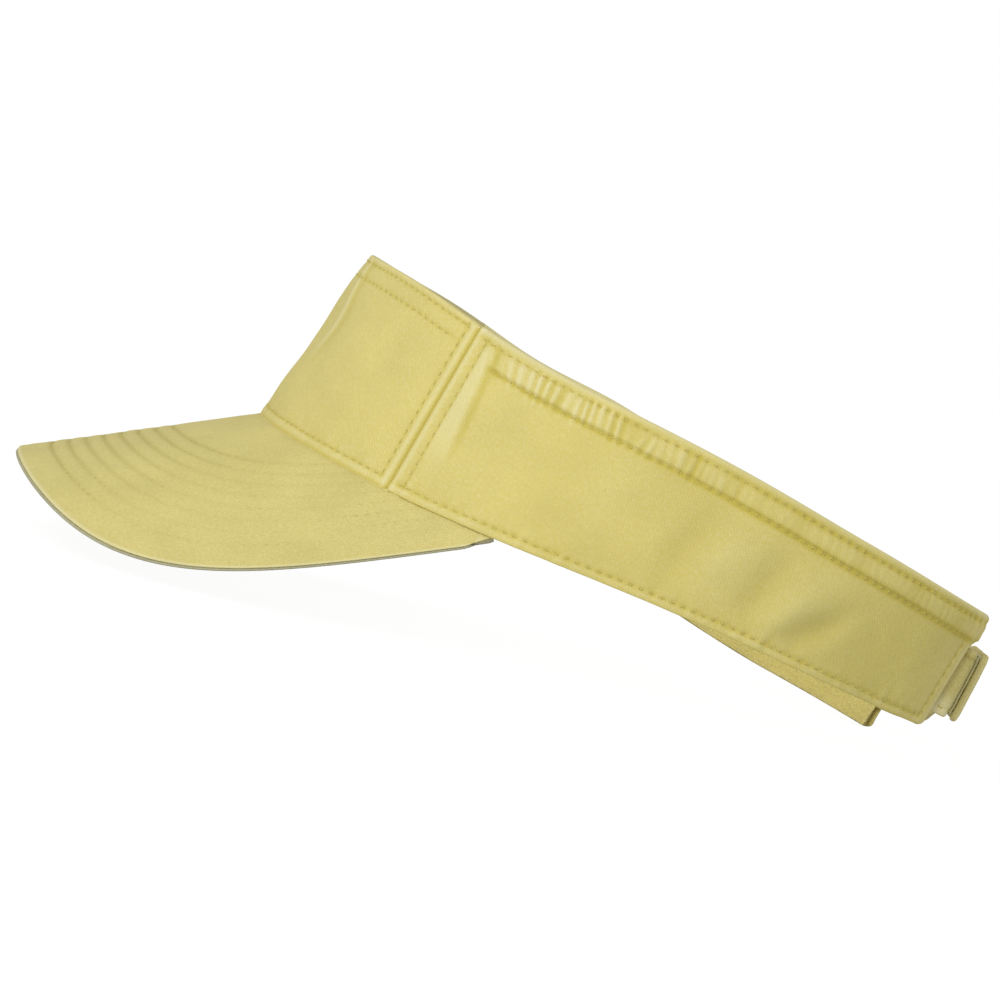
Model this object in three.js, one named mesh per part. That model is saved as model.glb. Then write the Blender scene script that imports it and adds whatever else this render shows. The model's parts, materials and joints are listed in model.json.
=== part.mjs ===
import * as THREE from "three";

const { degToRad, lerp, smoothstep } = THREE.MathUtils;

// A sun visor: a bill, a stiff front panel, two soft side panels and a hook-and-loop strap at the back.
// It is drawn as worn, in millimetres: -Y is the wearer's front, +X the wearer's left, +Z up the head.
// Angles go round the head from the front centre, positive to the wearer's left.

// ---------------------------------------------------------------- driving dimensions

const bandLength = 204; // outside, along the lower edge, forehead to the middle of the back
const bandWidth = 160;
const topNarrowing = 4; // the upper edge is this much narrower than the lower one
const topShortening = 5.2;
const topSetBack = 4.5; // the upper edge leans back by this much
const templeHeight = 41; // height of the band halfway back
const heightLoss = 8.5; // the band is this much taller at the forehead, and as much lower at the back
const browRise = 1.4; // the front panel's upper edge rises this much more at the forehead,
const leftSeamRise = 2.25; // this much more beside the left front seam
const rightSeamRise = 0.8; // and this much more beside the right one
const leftSag = 0.5; // the gathered upper edge sags by this much far back on the left side
const leftSagAt = degToRad(110);
const rightSag = 1.7; // and by this much just behind the seam on the right side
const rightSagAt = degToRad(62);
const sagSpread = degToRad(13);
const rearLift = 3.5; // the lower edge climbs by this much from the forehead to the back
const leftLift = 5.4; // the closure is fastened askew: it lifts the left end by this much
const rightDrop = 6.5; // and lowers the right end by this much

const seamAtFoot = degToRad(51.7); // front seam, where it meets the lower edge
const seamAtTop = degToRad(48.8);
const panelEnd = degToRad(151.7); // of the left side panel
const casingEnd = degToRad(153.2);
const liningEnd = degToRad(144.5);
const rightShortening = degToRad(2); // every piece of the right side ends this much earlier

const billReach = 67; // along the middle of the bill, band to tip
const billRoot = -102.9; // where the curve of the bill's edge would end, on the same line
const billDip = degToRad(35.3);
const billHalfAngle = degToRad(72.8);
const billRootHalfAngle = degToRad(70.8);
const billSidePower = 1.69; // powers of the superellipse that the edge follows
const billTipPower = 6.53;

const cloth = 0.8; // cotton twill with its turned hem
const thinCloth = 0.5;
const board = 1.4;
const gap = 0.3; // left between two layers
const seamGap = 0.5; // left where the side panels hinge
const seamHalfAngle = seamGap / bandLength; // half the seam gap, as an angle at the band

const casingHeight = 7.5;
const elasticHeight = 5;
const sweatbandHeight = 25;
const facingHeight = 12;

const strapWidth = 19.5;
const strapFoot = 13.2; // lower edge of the strap behind the head
const strapDrop = 9.9; // the strap slopes down by this much to the right end of the band
const strapCloth = 1;
const tape = 0.8;
const strapBack = bandLength / 2 - 2.8; // outer face of the strap behind the head
const foldX = -22; // the peeling tab folds here, where the right strap's straight stretch starts
const loopFlatX = 29; // the left strap is straight from here to its tip
const loopTip = 3;
const tabTip = 28;
const strapStart = degToRad(146.3);

const restTilt = degToRad(13); // nose up, when it stands on the bill's edges and its rear corner

// ---------------------------------------------------------------- the band

// How far the closure, fastened askew, lifts the band at this angle: up on the left, down on the right.
function skewLift(angle) {
  if (angle > 0) return leftLift * smoothstep(angle, degToRad(48), degToRad(112));
  return -rightDrop * smoothstep(-angle, degToRad(75), degToRad(125));
}

function lowerEdge(angle) {
  return rearLift * smoothstep(Math.abs(angle), degToRad(10), degToRad(130)) + skewLift(angle);
}

function bandHeight(angle) {
  const size = Math.abs(angle);
  const seamRise = angle > 0 ? leftSeamRise : rightSeamRise;
  const rise = lerp(browRise, seamRise, smoothstep(size, 0, degToRad(30)));
  const front = 1 - smoothstep(size, degToRad(30), degToRad(72));
  return templeHeight + heightLoss * Math.cos(angle) + rise * front - sag(angle);
}

function sag(angle) {
  const depth = angle > 0 ? leftSag : rightSag;
  const middle = angle > 0 ? leftSagAt : rightSagAt;
  return depth * Math.exp(-(((Math.abs(angle) - middle) / sagSpread) ** 2));
}

function halfWidth(share) {
  return (bandWidth - topNarrowing * share) / 2;
}

function halfLength(share) {
  return (bandLength - topShortening * share) / 2;
}

// A point of the band: share is 0 at the lower edge and 1 at the upper one, depth goes inwards.
function bandPoint(angle, share, depth) {
  const a = halfWidth(share);
  const b = halfLength(share);
  const normal = new THREE.Vector2(Math.sin(angle) / a, -Math.cos(angle) / b).normalize();
  return new THREE.Vector3(
    a * Math.sin(angle) - normal.x * depth,
    topSetBack * share - b * Math.cos(angle) - normal.y * depth,
    lowerEdge(angle) + share * bandHeight(angle),
  );
}

function seamAngle(share) {
  return lerp(seamAtFoot, seamAtTop, share);
}

// The share of the band's height that lies a number of millimetres above its lower edge.
function shareAbove(angle, height) {
  return height / bandHeight(angle);
}

function shareBelowTop(angle, drop) {
  return 1 - shareAbove(angle, drop);
}

// ---------------------------------------------------------------- building closed solids

// A closed sheet: place(u, v, w) gives the point for u along it, v across it and w through it.
function sheet(name, material, columns, rows, place) {
  const geometry = new THREE.BoxGeometry(1, 1, 1, columns, rows, 1);
  const corners = geometry.attributes.position;
  for (let i = 0; i < corners.count; i++) {
    const u = Math.round((corners.getX(i) + 0.5) * columns) / columns;
    const v = Math.round((corners.getY(i) + 0.5) * rows) / rows;
    const w = Math.round(corners.getZ(i) + 0.5);
    const point = place(u, v, w);
    corners.setXYZ(i, point.x, point.y, point.z);
  }
  geometry.computeVertexNormals();
  return named(name, geometry, material);
}

function named(name, geometry, material) {
  const mesh = new THREE.Mesh(geometry, material.clone());
  mesh.name = name;
  return mesh;
}

// A piece that lies on the band: its ends, from and to, are functions of the share of the height,
// and its edges, foot and top, are functions of the angle.
function bandSheet(name, material, piece) {
  return sheet(name, material, piece.columns, piece.rows, (u, v, w) => {
    const near = lerp(piece.from(v), piece.to(v), u);
    const share = lerp(piece.foot(near), piece.top(near), v);
    const angle = lerp(piece.from(share), piece.to(share), u);
    return bandPoint(angle, share, lerp(piece.innerDepth, piece.outerDepth, w));
  });
}

// Limits of a side piece, from one angle behind the seam to another, mirrored on the right.
function sideSpan(side, start, end) {
  const first = (share) => side * start(share);
  const last = (share) => side * end(share);
  return side > 0 ? { from: first, to: last } : { from: last, to: first };
}

// Where a piece that reaches the back of the side stops.
function endOn(side, angle) {
  return side > 0 ? angle : angle - rightShortening;
}

// ---------------------------------------------------------------- materials

function fabric(color, roughness = 0.92) {
  return new THREE.MeshStandardMaterial({ color, roughness, metalness: 0 });
}

const twill = fabric(0xd8cb84);
const paleTwill = fabric(0xdcd6b4);
const liningTwill = fabric(0xcbbb72);
const buckram = fabric(0xe6e3d6);
const elastic = fabric(0xefece0, 0.85);
const terry = fabric(0xd3c68a, 0.96);
const looped = fabric(0xd9d3b2, 0.98);
const hooked = fabric(0xe9e6d8, 0.6);
const satin = fabric(0xf1efe6, 0.5);
const plastic = new THREE.MeshStandardMaterial({ color: 0xe8e8e4, roughness: 0.55, metalness: 0 });

// ---------------------------------------------------------------- the bill

const billForward = new THREE.Vector3(0, -Math.cos(billDip), -Math.sin(billDip));
const billUp = new THREE.Vector3(0, -Math.sin(billDip), Math.cos(billDip));

// The band's lower edge, which the bill is sewn to.
function rootPoint(angle) {
  return new THREE.Vector3(
    (bandWidth / 2) * Math.sin(angle),
    (-bandLength / 2) * Math.cos(angle),
    lowerEdge(angle),
  );
}

const browPoint = rootPoint(0);

// The bill is a flat board bent round the forehead, so every line along it stays straight.
// An arch point is where such a line, carried on, meets the band.
function rootReach(angle) {
  return rootPoint(angle).sub(browPoint).dot(billForward);
}

function billNormal(angle) {
  const step = 0.001;
  const along = rootPoint(angle + step).sub(rootPoint(angle - step));
  return new THREE.Vector3(0, 0, 0)
    .addScaledVector(billUp, along.x)
    .addScaledVector(new THREE.Vector3(1, 0, 0), -along.dot(billUp))
    .normalize();
}

function billPoint(angle, reach, depth) {
  return rootPoint(angle)
    .addScaledVector(billForward, reach - rootReach(angle))
    .addScaledVector(billNormal(angle), -depth);
}

// One layer of the bill, set in from its edge, between two depths below the top cover's face.
function billLayer(name, material, inset, outerDepth, innerDepth) {
  const columns = 41;
  const rows = 6;
  const lastTurn = degToRad(89);
  const rootClearance = 0.6;
  const insetAngle = inset / (bandWidth / 2);
  return sheet(name, material, columns, rows, (u, v, w) => {
    const turn = lerp(-lastTurn, lastTurn, u);
    const sideways = Math.sign(turn) * Math.abs(Math.sin(turn)) ** (2 / billSidePower);
    const forwards = Math.cos(turn) ** (2 / billTipPower);
    const edgeAngle = (billHalfAngle - insetAngle) * sideways;
    const edgeReach = lerp(billRoot, billReach - inset, forwards);
    const rootAngle = (billRootHalfAngle - insetAngle) * sideways;
    const angle = lerp(edgeAngle, rootAngle, v);
    const reach = lerp(edgeReach, rootReach(rootAngle) + rootClearance, v);
    return billPoint(angle, reach, lerp(innerDepth, outerDepth, w));
  });
}

function makeBill() {
  const coverDepth = 0.6;
  const boardFace = coverDepth + gap;
  const underFace = boardFace + board + gap;
  const boardInset = 2.5;
  return [
    billLayer("bill_top_cover", twill, 0, 0, coverDepth),
    billLayer("bill_board", plastic, boardInset, boardFace, boardFace + board),
    billLayer("bill_under_cover", liningTwill, 0, underFace, underFace + coverDepth),
  ];
}

// ---------------------------------------------------------------- the front panel

function frontSpan() {
  return {
    from: (share) => -seamAngle(share) + seamHalfAngle,
    to: (share) => seamAngle(share) - seamHalfAngle,
  };
}

function makeFront() {
  const backingDepth = cloth + gap;
  const innerDepth = backingDepth + cloth + gap;
  const hem = 1;
  const columns = 17;
  return [
    bandSheet("front_panel", twill, {
      ...frontSpan(),
      foot: () => 0,
      top: () => 1,
      outerDepth: 0,
      innerDepth: cloth,
      columns,
      rows: 4,
    }),
    bandSheet("front_backing", buckram, {
      ...frontSpan(),
      foot: (angle) => shareAbove(angle, hem),
      top: (angle) => shareBelowTop(angle, hem),
      outerDepth: backingDepth,
      innerDepth: backingDepth + cloth,
      columns,
      rows: 3,
    }),
    bandSheet("front_top_facing", paleTwill, {
      ...frontSpan(),
      foot: (angle) => shareBelowTop(angle, facingHeight),
      top: (angle) => shareBelowTop(angle, -0.6),
      outerDepth: innerDepth,
      innerDepth: innerDepth + thinCloth,
      columns,
      rows: 2,
    }),
    bandSheet("sweatband_front", terry, {
      ...frontSpan(),
      foot: (angle) => shareAbove(angle, hem),
      top: (angle) => shareAbove(angle, sweatbandHeight + hem),
      outerDepth: innerDepth,
      innerDepth: innerDepth + 1.2,
      columns,
      rows: 2,
    }),
  ];
}

// ---------------------------------------------------------------- the side panels

// Cross-section of the casing: a strip folded over the top edge. It gives depth and drop below
// the band's upper edge, for v from the outer leg's foot, over the fold, to the inner leg's foot.
function casingSection(v, offset) {
  const foldRadius = 1;
  const outerLegDepth = -0.1;
  const leg = casingHeight - foldRadius;
  const fold = Math.PI * foldRadius;
  const walked = v * (2 * leg + fold);
  if (walked <= leg) return { depth: outerLegDepth - offset, drop: casingHeight - walked };
  if (walked >= leg + fold) {
    const down = walked - leg - fold;
    return { depth: outerLegDepth + 2 * foldRadius + offset, drop: foldRadius + down };
  }
  const turn = (walked - leg) / foldRadius;
  return {
    depth: outerLegDepth + foldRadius - (foldRadius + offset) * Math.cos(turn),
    drop: foldRadius - (foldRadius + offset) * Math.sin(turn),
  };
}

function makeCasing(side, label) {
  const halfStrip = 0.3;
  const rows = 14;
  const end = endOn(side, casingEnd);
  const span = sideSpan(side, (share) => seamAngle(share) + seamHalfAngle, () => end);
  return sheet(`${label}_top_casing`, twill, 18, rows, (u, v, w) => {
    const section = casingSection(v, lerp(-halfStrip, halfStrip, w));
    const near = lerp(span.from(1), span.to(1), u);
    const share = shareBelowTop(near, section.drop);
    const angle = lerp(span.from(share), span.to(share), u);
    return bandPoint(angle, share, section.depth);
  });
}

function makeSide(side, label) {
  const hem = 1;
  const liningDepth = cloth + gap;
  const sweatbandDepth = liningDepth + thinCloth + gap;
  const seamTapeEnd = degToRad(6);
  const behindSeam = (extra) => (share) => seamAngle(share) + seamHalfAngle + extra;
  const end = (angle) => () => endOn(side, angle);
  const belowCasing = (angle) => shareBelowTop(angle, casingHeight + gap);
  const elasticDrop = 1.7;
  return [
    bandSheet(`${label}_side_panel`, twill, {
      ...sideSpan(side, behindSeam(0), end(panelEnd)),
      foot: () => 0,
      top: belowCasing,
      outerDepth: 0,
      innerDepth: cloth,
      columns: 18,
      rows: 4,
    }),
    makeCasing(side, label),
    bandSheet(`${label}_top_elastic`, elastic, {
      ...sideSpan(side, behindSeam(degToRad(0.7)), end(panelEnd)),
      foot: (angle) => shareBelowTop(angle, elasticDrop + elasticHeight),
      top: (angle) => shareBelowTop(angle, elasticDrop),
      outerDepth: 0.5,
      innerDepth: 1.3,
      columns: 18,
      rows: 1,
    }),
    bandSheet(`${label}_seam_tape`, paleTwill, {
      ...sideSpan(side, behindSeam(degToRad(0.5)), behindSeam(seamTapeEnd)),
      foot: (angle) => shareAbove(angle, hem),
      top: belowCasing,
      outerDepth: liningDepth,
      innerDepth: liningDepth + thinCloth,
      columns: 2,
      rows: 2,
    }),
    bandSheet(`${label}_side_lining`, liningTwill, {
      ...sideSpan(side, behindSeam(seamTapeEnd + degToRad(0.4)), end(liningEnd)),
      foot: (angle) => shareAbove(angle, hem),
      top: belowCasing,
      outerDepth: liningDepth,
      innerDepth: liningDepth + thinCloth,
      columns: 18,
      rows: 2,
    }),
    bandSheet(`${label}_sweatband`, terry, {
      ...sideSpan(side, behindSeam(0), end(liningEnd)),
      foot: (angle) => shareAbove(angle, hem),
      top: (angle) => shareAbove(angle, sweatbandHeight),
      outerDepth: sweatbandDepth,
      innerDepth: sweatbandDepth + 1.2,
      columns: 18,
      rows: 2,
    }),
  ];
}

function makeCareLabel() {
  const labelFoot = 5;
  const labelHeight = 14;
  return bandSheet("care_label", satin, {
    ...sideSpan(1, () => degToRad(122), () => degToRad(135)),
    foot: (angle) => shareAbove(angle, labelFoot),
    top: (angle) => shareAbove(angle, labelFoot + labelHeight),
    outerDepth: 3.4,
    innerDepth: 3.7,
    columns: 3,
    rows: 1,
  });
}

// ---------------------------------------------------------------- the closure strap

function strapSlope(x) {
  const endX = halfWidth(0) * Math.sin(endOn(-1, panelEnd));
  return -strapDrop * smoothstep(-x, 0, endX);
}

// A strip standing on edge: its middle line seen from above, its thickness and its height range.
function ribbon(name, material, line, thickness, foot, height) {
  const faces = [thickness / 2, -thickness / 2].map((offset) =>
    line.map((point, i) => {
      const before = line[Math.max(i - 1, 0)];
      const after = line[Math.min(i + 1, line.length - 1)];
      const along = after.clone().sub(before).normalize();
      return new THREE.Vector2(point.x - along.y * offset, point.y + along.x * offset);
    }),
  );
  const outline = new THREE.Shape([...faces[0], ...faces[1].reverse()]);
  const geometry = new THREE.ExtrudeGeometry(outline, { depth: height, bevelEnabled: false });
  const corners = geometry.attributes.position;
  for (let i = 0; i < corners.count; i++) {
    corners.setZ(i, corners.getZ(i) + foot + strapSlope(corners.getX(i)));
  }
  geometry.computeVertexNormals();
  return named(name, geometry, material);
}

// The middle line of a strap, from inside the panel's end to its straight stretch.
function strapLine(side, straightX, straightY, clothDepth) {
  const inPanel = [strapStart, lerp(strapStart, panelEnd, 0.5), panelEnd].map((angle) => {
    const point = bandPoint(side * endOn(side, angle), 0, clothDepth);
    return new THREE.Vector2(point.x, point.y);
  });
  const start = inPanel[inPanel.length - 1];
  const end = new THREE.Vector2(straightX, straightY);
  const leave = new THREE.Vector2(start.x - side * 5, start.y + 5);
  const arrive = new THREE.Vector2(end.x + side * 8, end.y);
  const bend = new THREE.CubicBezierCurve(start, leave, arrive, end).getPoints(8);
  return [...inPanel, ...bend.slice(1)];
}

const tabY = strapBack - strapCloth / 2;
const hookTapeY = tabY - strapCloth / 2 - gap - tape / 2;
const loopTapeY = hookTapeY - tape - gap;
const loopStrapY = loopTapeY - tape / 2 - gap - strapCloth / 2;
const rootDepth = 2.1; // middle of the strap, below the panel's outer face

function straight(fromX, toX, y) {
  return [new THREE.Vector2(fromX, y), new THREE.Vector2(toX, y)];
}

function makeStraps() {
  const hingeGap = 0.3;
  const tapeMargin = 1;
  const tapeFoot = strapFoot + tapeMargin;
  const tapeWidth = strapWidth - 2 * tapeMargin;
  const loopEnd = new THREE.Vector2(loopTip, loopStrapY);
  const left = [...strapLine(1, loopFlatX, loopStrapY, rootDepth), loopEnd];
  const right = strapLine(-1, foldX, tabY, rootDepth);
  right[right.length - 1].x -= hingeGap;
  return [
    ribbon("loop_strap", twill, left, strapCloth, strapFoot, strapWidth),
    ribbon(
      "loop_tape",
      looped,
      straight(loopFlatX - tapeMargin, loopTip + tapeMargin, loopTapeY),
      tape,
      tapeFoot,
      tapeWidth,
    ),
    ribbon("hook_strap", twill, right, strapCloth, strapFoot, strapWidth),
    ribbon(
      "hook_tab",
      twill,
      straight(foldX + hingeGap, tabTip, tabY),
      strapCloth,
      strapFoot,
      strapWidth,
    ),
    ribbon(
      "hook_tape",
      hooked,
      straight(loopTip - tapeMargin, tabTip - tapeMargin, hookTapeY),
      tape,
      tapeFoot,
      tapeWidth,
    ),
  ];
}

// ---------------------------------------------------------------- the whole visor

const worn = new THREE.Group();
worn.add(
  ...makeBill(),
  ...makeFront(),
  ...makeSide(1, "left"),
  ...makeSide(-1, "right"),
  makeCareLabel(),
  ...makeStraps(),
);
worn.rotation.x = -restTilt;

// The origin is the middle of the box round the visor, on the ground it rests on.
const bounds = new THREE.Box3().setFromObject(worn, true);
const middle = bounds.getCenter(new THREE.Vector3());
worn.position.set(-middle.x, -middle.y, -bounds.min.z);

const visor = new THREE.Group();
visor.add(worn);

export default visor;
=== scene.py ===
"""A sun visor in washed lemon twill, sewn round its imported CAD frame.

Lengths in this script are millimetres until a mesh is made, and metres from there on. Shapes are worked
out as worn: -Y is the wearer's front, +X the wearer's left, +Z up the head, angles go round the head
from the front centre and are positive to the left. to_frame() turns them into the frame's own axes.
"""
import json
from math import atan2, cos, pi, radians, sin

import bpy
import numpy as np
from mathutils import Matrix, Vector


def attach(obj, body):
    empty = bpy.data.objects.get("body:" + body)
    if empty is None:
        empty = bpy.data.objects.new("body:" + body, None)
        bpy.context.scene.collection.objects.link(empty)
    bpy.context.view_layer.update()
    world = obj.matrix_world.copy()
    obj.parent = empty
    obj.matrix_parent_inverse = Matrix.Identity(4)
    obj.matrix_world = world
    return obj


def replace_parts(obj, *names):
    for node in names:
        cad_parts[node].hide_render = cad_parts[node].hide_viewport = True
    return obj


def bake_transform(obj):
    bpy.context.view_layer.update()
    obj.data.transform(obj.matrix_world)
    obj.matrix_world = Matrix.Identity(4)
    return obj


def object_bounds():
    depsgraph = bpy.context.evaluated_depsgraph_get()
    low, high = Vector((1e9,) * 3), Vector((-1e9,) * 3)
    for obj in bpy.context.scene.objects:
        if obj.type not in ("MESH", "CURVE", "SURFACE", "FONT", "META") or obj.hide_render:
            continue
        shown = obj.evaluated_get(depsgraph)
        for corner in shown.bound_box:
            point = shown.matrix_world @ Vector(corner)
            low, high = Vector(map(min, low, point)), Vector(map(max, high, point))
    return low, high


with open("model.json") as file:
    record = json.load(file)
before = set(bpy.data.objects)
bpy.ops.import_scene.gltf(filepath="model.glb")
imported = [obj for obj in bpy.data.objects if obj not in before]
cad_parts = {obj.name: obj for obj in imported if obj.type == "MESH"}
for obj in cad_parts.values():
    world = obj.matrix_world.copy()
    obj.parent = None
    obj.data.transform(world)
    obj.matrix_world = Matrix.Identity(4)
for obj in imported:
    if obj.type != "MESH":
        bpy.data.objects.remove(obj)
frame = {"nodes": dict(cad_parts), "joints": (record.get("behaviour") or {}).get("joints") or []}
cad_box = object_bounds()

# ------------ driving dimensions, as in the CAD

BAND_LENGTH = 204.0
BAND_WIDTH = 160.0
TOP_NARROWING = 4.0
TOP_SHORTENING = 5.2
TOP_SET_BACK = 4.5
TEMPLE_HEIGHT = 41.0
HEIGHT_LOSS = 8.5
BROW_RISE = 1.4
LEFT_SEAM_RISE = 2.25
RIGHT_SEAM_RISE = 0.8
LEFT_SAG = 0.5
LEFT_SAG_AT = radians(110)
RIGHT_SAG = 1.7
RIGHT_SAG_AT = radians(62)
SAG_SPREAD = radians(13)
REAR_LIFT = 3.5
LEFT_LIFT = 5.4
RIGHT_DROP = 6.5
SEAM_AT_FOOT = radians(51.7)
SEAM_AT_TOP = radians(48.8)
PANEL_END = radians(151.7)
LINING_END = radians(144.5)
RIGHT_SHORTENING = radians(2)
SEAM_HALF_ANGLE = 0.5 / BAND_LENGTH
SEAM_MARGIN = 0.6 * SEAM_HALF_ANGLE  # left free by the outer cloth, which reaches further into the seam
SIDE_RADIUS = 85.0  # turns a short length along the band into an angle

BILL_REACH = 67.0
BILL_ROOT = -102.9
BILL_DIP = radians(35.3)
BILL_HALF_ANGLE = radians(72.8)
BILL_ROOT_HALF_ANGLE = radians(70.8)
BILL_SIDE_POWER = 1.69
BILL_TIP_POWER = 6.53
BILL_THICKNESS = 3.2

STRAP_WIDTH = 19.5
STRAP_FOOT = 13.2
STRAP_DROP = 9.9
STRAP_CLOTH = 1.0
TAPE = 0.8
LAYER_GAP = 0.3
STRAP_BACK = BAND_LENGTH / 2 - 2.8
FOLD_X = -22.0
LOOP_FLAT_X = 29.0
LOOP_TIP = 3.0
TAB_TIP = 28.0
STRAP_START = radians(146.3)
TAB_HINGE_HEIGHT = 18.0

# ------------ sewing

STITCH_PITCH = 2.9
STITCH_LENGTH = 2.1
BILL_THREAD = 0.14  # radius
BAND_THREAD = 0.2
BILL_ROWS = 8
FIRST_ROW = 9.5
ROW_SPACING = 4.7
FRONT_HEM = 2.4  # stitch line above the lower edge
SIDE_HEM = 2.1
CASING_FOOT = 7.8  # lower stitch line of the casing, below the top edge
CASING_TOP = 2.1
FRONT_TOPSTITCH = 3.1  # ahead of the front seam
SIDE_TOPSTITCH = 3.9  # behind it
SEAM_FOLD = 8.6  # the side panel is creased along a line this far behind the seam at its top
FOLD_LEAN = 0.1  # and this share further for each mm below the top
FACING_ROW = 6.2  # stitch line of the front facing, below the top edge
END_STITCH = 3.5  # in from the side panel's rear end

# Depths below the band's outer face of the outer and the inner face of each layer inside it
BACKING = (1.1, 1.9)
FACING = (2.2, 2.7)
FRONT_SWEATBAND = (2.2, 3.2)
LINING = (1.1, 1.6)
SIDE_SWEATBAND = (1.9, 2.9)
LABEL = (3.4, 3.7)

# ------------ from the worn shape to the frame

joints = {joint["name"]: joint for joint in frame["joints"]}
up_axis = joints["tab_peel"]["axis"]
rest_tilt = atan2(up_axis[1], up_axis[2])
turn = np.array(Matrix.Rotation(-rest_tilt, 3, "X"))
tab_hinge = np.array([FOLD_X, STRAP_BACK, TAB_HINGE_HEIGHT])
shift = np.array(joints["tab_peel"]["pos_m"]) * 1000 - turn @ tab_hinge


def to_frame(points):
    """Worn millimetres to metres in the frame's axes."""
    return (np.asarray(points) @ turn.T + shift) / 1000


# ------------ small helpers

def smoothstep(x, low, high):
    t = np.clip((x - low) / (high - low), 0, 1)
    return t * t * (3 - 2 * t)


def lerp(a, b, t):
    return a + (b - a) * t


def bump(x, middle, width):
    return np.exp(-(((x - middle) / width) ** 2))


def noise(x, y, seed):
    """Smooth noise from -1 to 1 with one cell per unit."""
    cells = 64
    lattice = np.random.default_rng(seed).uniform(-1, 1, (cells, cells))
    x, y = np.broadcast_arrays(x, y)
    column = np.floor(x).astype(int)
    row = np.floor(y).astype(int)
    right = smoothstep(x - column, 0, 1)
    above = smoothstep(y - row, 0, 1)
    value = {}
    for i in (0, 1):
        for j in (0, 1):
            value[i, j] = lattice[(column + i) % cells, (row + j) % cells]
    low = lerp(value[0, 0], value[1, 0], right)
    high = lerp(value[0, 1], value[1, 1], right)
    return lerp(low, high, above)


def unit(vectors):
    length = np.linalg.norm(vectors, axis=-1, keepdims=True)
    return vectors / np.maximum(length, 1e-9)


def run_length(points):
    """How far along a line each of its points is."""
    steps = np.linalg.norm(np.diff(points, axis=0), axis=1)
    return np.concatenate([[0], np.cumsum(steps)])


def sample(values, length, where):
    """Points or directions, given at these lengths along a line, at other places along it."""
    return np.stack([np.interp(where, length, column) for column in values.T], axis=1)


def corner_cut(distance, radius):
    """How far a corner's rounding draws an edge in, at this distance from the corner."""
    return radius * (1 - np.sqrt(1 - (1 - np.clip(distance / radius, 0, 1)) ** 2))


# ------------ the band's shape

def lower_edge(angle):
    """The closure, fastened askew, lifts the left end of the band and lowers the right one."""
    left = LEFT_LIFT * smoothstep(angle, radians(48), radians(112))
    right = RIGHT_DROP * smoothstep(-angle, radians(75), radians(125))
    return REAR_LIFT * smoothstep(np.abs(angle), radians(10), radians(130)) + left - right


def band_height(angle):
    size = np.abs(angle)
    seam_rise = np.where(angle > 0, LEFT_SEAM_RISE, RIGHT_SEAM_RISE)
    rise = lerp(BROW_RISE, seam_rise, smoothstep(size, 0, radians(30)))
    front = 1 - smoothstep(size, radians(30), radians(72))
    left_sag = LEFT_SAG * bump(angle, LEFT_SAG_AT, SAG_SPREAD)
    right_sag = RIGHT_SAG * bump(angle, -RIGHT_SAG_AT, SAG_SPREAD)
    return TEMPLE_HEIGHT + HEIGHT_LOSS * np.cos(angle) + rise * front - left_sag - right_sag


def end_on(side, angle):
    """Where a piece that reaches the back of the side stops."""
    return angle if side > 0 else angle - RIGHT_SHORTENING


def band_point(angle, height, depth):
    """A point of the band: height above its lower edge, depth inwards from its outer face."""
    share = height / band_height(angle)
    a = (BAND_WIDTH - TOP_NARROWING * share) / 2
    b = (BAND_LENGTH - TOP_SHORTENING * share) / 2
    normal = unit(np.stack([np.sin(angle) / a, -np.cos(angle) / b], axis=-1))
    x = a * np.sin(angle) - normal[..., 0] * depth
    y = TOP_SET_BACK * share - b * np.cos(angle) - normal[..., 1] * depth
    return np.stack([x, y, lower_edge(angle) + height], axis=-1)


def seam_angle(share):
    return lerp(SEAM_AT_FOOT, SEAM_AT_TOP, share)


def make_arc_table():
    angles = np.linspace(-pi, pi, 2001)
    lengths = run_length(band_point(angles, 0.5 * band_height(angles), 0.0)[:, :2])
    return angles, lengths - np.interp(0, angles, lengths)


ARC_ANGLES, ARC_LENGTHS = make_arc_table()


def arc_length(angle):
    """Distance round the band from the front centre, negative on the right."""
    return np.interp(angle, ARC_ANGLES, ARC_LENGTHS)


def angle_at(length):
    return np.interp(length, ARC_LENGTHS, ARC_ANGLES)


def from_seam(angle, h):
    """Distance from the nearest front seam, positive behind it."""
    share = h / band_height(angle)
    return np.abs(arc_length(angle)) - np.abs(arc_length(np.sign(angle) * seam_angle(share)))


# ------------ closed sheets of cloth

EDGE_POINTS = 4  # inside each rounded edge, an even number
END_RINGS = 3
EDGE_ROUNDING = 0.7  # the most that a rounded edge stands out
BACK_WEAVE = 40.0  # how far off in the weave's pattern a sheet's back is from its front


def around(front, back):
    """Values round a sheet's section: up the front, over the top edge, down the back, under the foot."""
    half = EDGE_POINTS // 2
    top = [front[:, -1:]] * half + [back[:, -1:]] * half
    foot = [back[:, :1]] * half + [front[:, :1]] * half
    return np.concatenate([front, *top, back[:, ::-1], *foot], axis=1)


def rounding(front, back, outwards, turns):
    """Points round an edge, at turns from 0 at its front points to pi at its back points."""
    middle = (front + back) / 2
    reach = (front - back) / 2
    size = np.minimum(np.linalg.norm(reach, axis=-1, keepdims=True), EDGE_ROUNDING)
    return [middle + reach * cos(t) + outwards * size * sin(t) for t in turns]


def section_rings(front, back):
    """The sheet's sections, each a ring in the order of around()."""
    turns = np.linspace(0, pi, EDGE_POINTS + 2)[1:-1]
    top = rounding(front[:, -1], back[:, -1], unit(front[:, -1] - front[:, -2]), turns)
    foot = rounding(back[:, 0], front[:, 0], unit(front[:, 0] - front[:, 1]), turns)
    return np.concatenate([front, np.stack(top, axis=1), back[:, ::-1], np.stack(foot, axis=1)], axis=1)


def close_end(ring, before, opposite):
    """Rings that round a sheet off beyond its last section, almost to a point."""
    turns = np.linspace(0, 0.45 * pi, END_RINGS + 1)[1:]
    return rounding(ring, ring[opposite], unit(ring - before), turns)


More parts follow.
